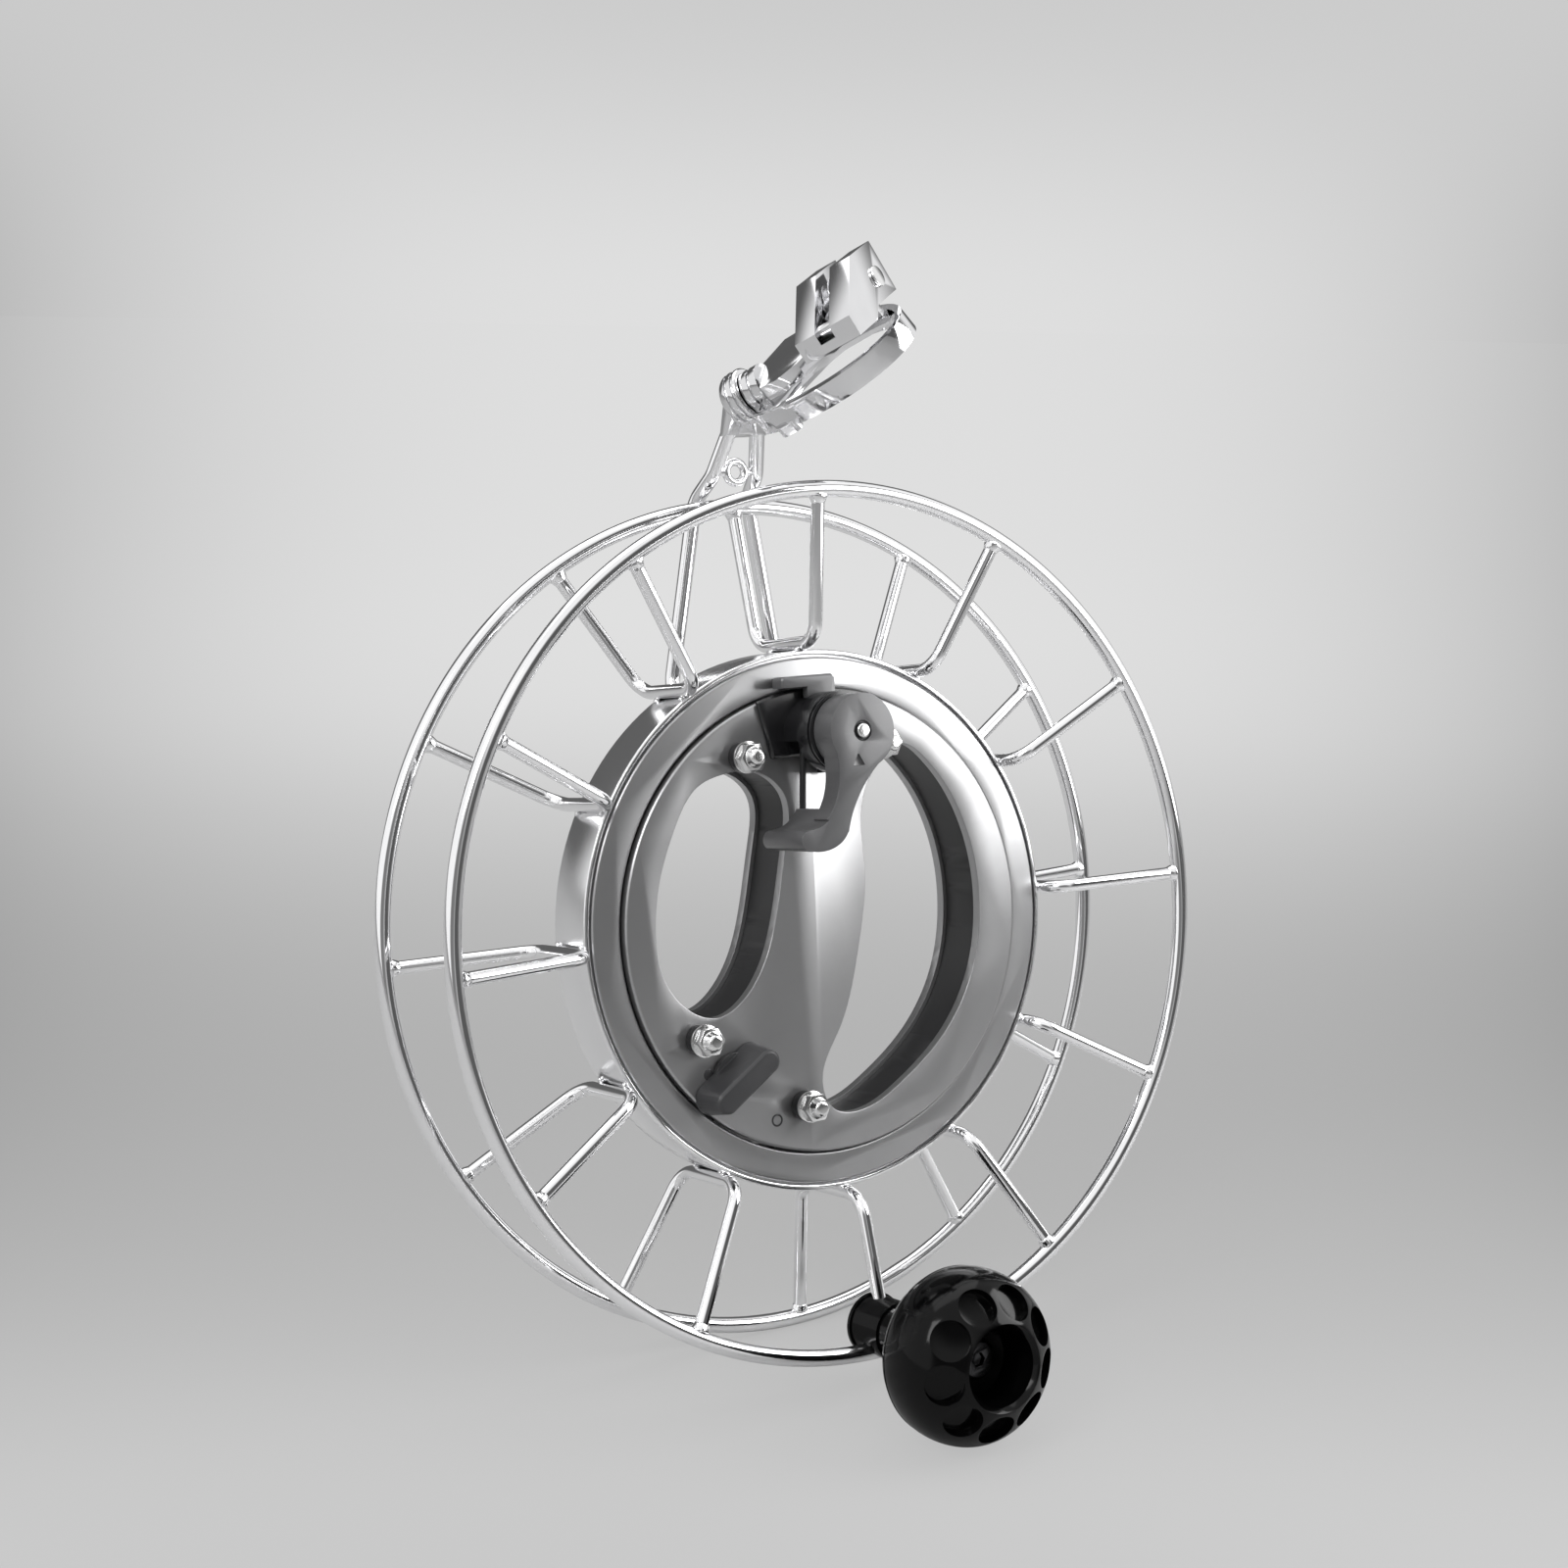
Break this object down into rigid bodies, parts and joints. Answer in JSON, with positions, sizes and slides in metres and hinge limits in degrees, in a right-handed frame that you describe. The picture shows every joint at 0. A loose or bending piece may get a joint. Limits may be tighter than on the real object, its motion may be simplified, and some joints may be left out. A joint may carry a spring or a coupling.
{
  "type": "kite line winder",
  "caption": "Wire-rimmed kite line winder that spins on a ball bearing round a hand-held hub, with a disc brake lever, a lock, a crank knob and a pivoting line guide.",
  "frame": {"origin": "centre of the wheel on its spin axis, which is also the middle of the hand grip", "axes": "+Y along the spin axis, away from the brake lever and crank knob; +Z towards the guide head; +X right as seen from the lever's side"},
  "size_m": [0.2406, 0.1127, 0.3208],
  "materials": {
    "polished_steel": "polished stainless wire and fittings",
    "head_chrome": "chrome-plated casting, mirror bright",
    "race_steel": "ground bearing steel",
    "plate_grey": "satin grey moulded plastic",
    "body_black": "black moulded plastic",
    "lock_black": "satin black plastic",
    "knob_black": "high-gloss black plastic",
    "pad_rubber": "brake rubber",
    "black_steel": "blackened steel"
  },
  "bodies": {
    "hub": {"front_plate": "plate_grey", "grip_core": "body_black", "rear_plate": "plate_grey", "bearing_inner_race": "race_steel", "through_bolts": "polished_steel", "nut_bosses": "body_black", "nut_washers": "polished_steel", "dome_nuts": "polished_steel", "brake_block": "body_black", "brake_barrel": "body_black", "lever_pin": "polished_steel", "arm_clamp": "body_black", "clamp_screws": "polished_steel", "arm_wire_left": "polished_steel", "arm_wire_right": "polished_steel", "arm_eye": "polished_steel", "guide_knuckle": "head_chrome", "head_pivot": "polished_steel"},
    "wheel": {"front_ring": "polished_steel", "rear_ring": "polished_steel", "spoke_01": "polished_steel", "spoke_02": "polished_steel", "spoke_03": "polished_steel", "spoke_04": "polished_steel", "spoke_05": "polished_steel", "spoke_06": "polished_steel", "spoke_07": "polished_steel", "spoke_08": "polished_steel", "spoke_09": "polished_steel", "spoke_10": "polished_steel", "spoke_11": "polished_steel", "spoke_12": "polished_steel", "drum_band": "polished_steel", "bearing_outer_race": "race_steel", "hub_cover_front": "plate_grey", "hub_cover_rear": "plate_grey", "lock_ring": "race_steel", "knob_socket": "knob_black", "knob_spindle": "black_steel"},
    "ball_cage": {"bearing_cage": "body_black", "bearing_balls": "polished_steel"},
    "brake_lever": {"brake_lever": "plate_grey", "lever_bush": "body_black", "brake_cam": "race_steel", "lever_spring": "body_black"},
    "brake_shoe": {"brake_shoe": "plate_grey", "brake_pad": "pad_rubber"},
    "lock_knob": {"lock_knob": "lock_black"},
    "lock_bolt": {"lock_bolt": "body_black"},
    "guide_head": {"head_frame": "head_chrome", "pulley_pin": "polished_steel"},
    "pulley": {"guide_pulley": "head_chrome"},
    "crank_knob": {"crank_knob": "knob_black"}
  },
  "joints": [
    {"name": "wheel_spin", "type": "hinge", "parent": "hub", "child": "wheel", "pos_m": [0, 0, 0], "axis": [0, 1, 0], "continuous": true},
    {"name": "cage_turn", "type": "hinge", "parent": "hub", "child": "ball_cage", "pos_m": [0, 0, 0], "axis": [0, 1, 0], "continuous": true},
    {"name": "knob_spin", "type": "hinge", "parent": "wheel", "child": "crank_knob", "pos_m": [0, -0.05, -0.1125], "axis": [0, 1, 0], "continuous": true},
    {"name": "brake_lever_turn", "type": "hinge", "parent": "hub", "child": "brake_lever", "pos_m": [0, -0.03, 0.052], "axis": [0, -1, 0], "range_deg": [0, 22], "stiffness_Nm_per_rad": 0.2, "springref_deg": -20.05},
    {"name": "brake_shoe_slide", "type": "slide", "parent": "hub", "child": "brake_shoe", "axis": [0, 1, 0], "range_m": [0, 0.0007]},
    {"name": "lock_knob_turn", "type": "hinge", "parent": "hub", "child": "lock_knob", "pos_m": [-0.03499, -0.0112, -0.03806], "axis": [0, -1, 0], "range_deg": [0, 78]},
    {"name": "lock_bolt_slide", "type": "slide", "parent": "hub", "child": "lock_bolt", "axis": [-0.6769, 0, -0.7361], "range_m": [0, 0.0029]},
    {"name": "head_swivel", "type": "hinge", "parent": "hub", "child": "guide_head", "pos_m": [0, 0.0076, 0.1486], "axis": [0.407, -0.8648, 0.294], "range_deg": [-60, 30]},
    {"name": "pulley_spin", "type": "hinge", "parent": "guide_head", "child": "pulley", "pos_m": [0.0178, -0.01978, 0.17198], "axis": [0.407, -0.8648, 0.294], "continuous": true}
  ],
  "couplings": [
    {"joint": "cage_turn", "follows": "wheel_spin", "ratio": 0.5},
    {"joint": "brake_shoe_slide", "follows": "brake_lever_turn", "m_per_rad": 0.0018139},
    {"joint": "lock_bolt_slide", "follows": "lock_knob_turn", "m_per_rad": 0.0019799}
  ]
}
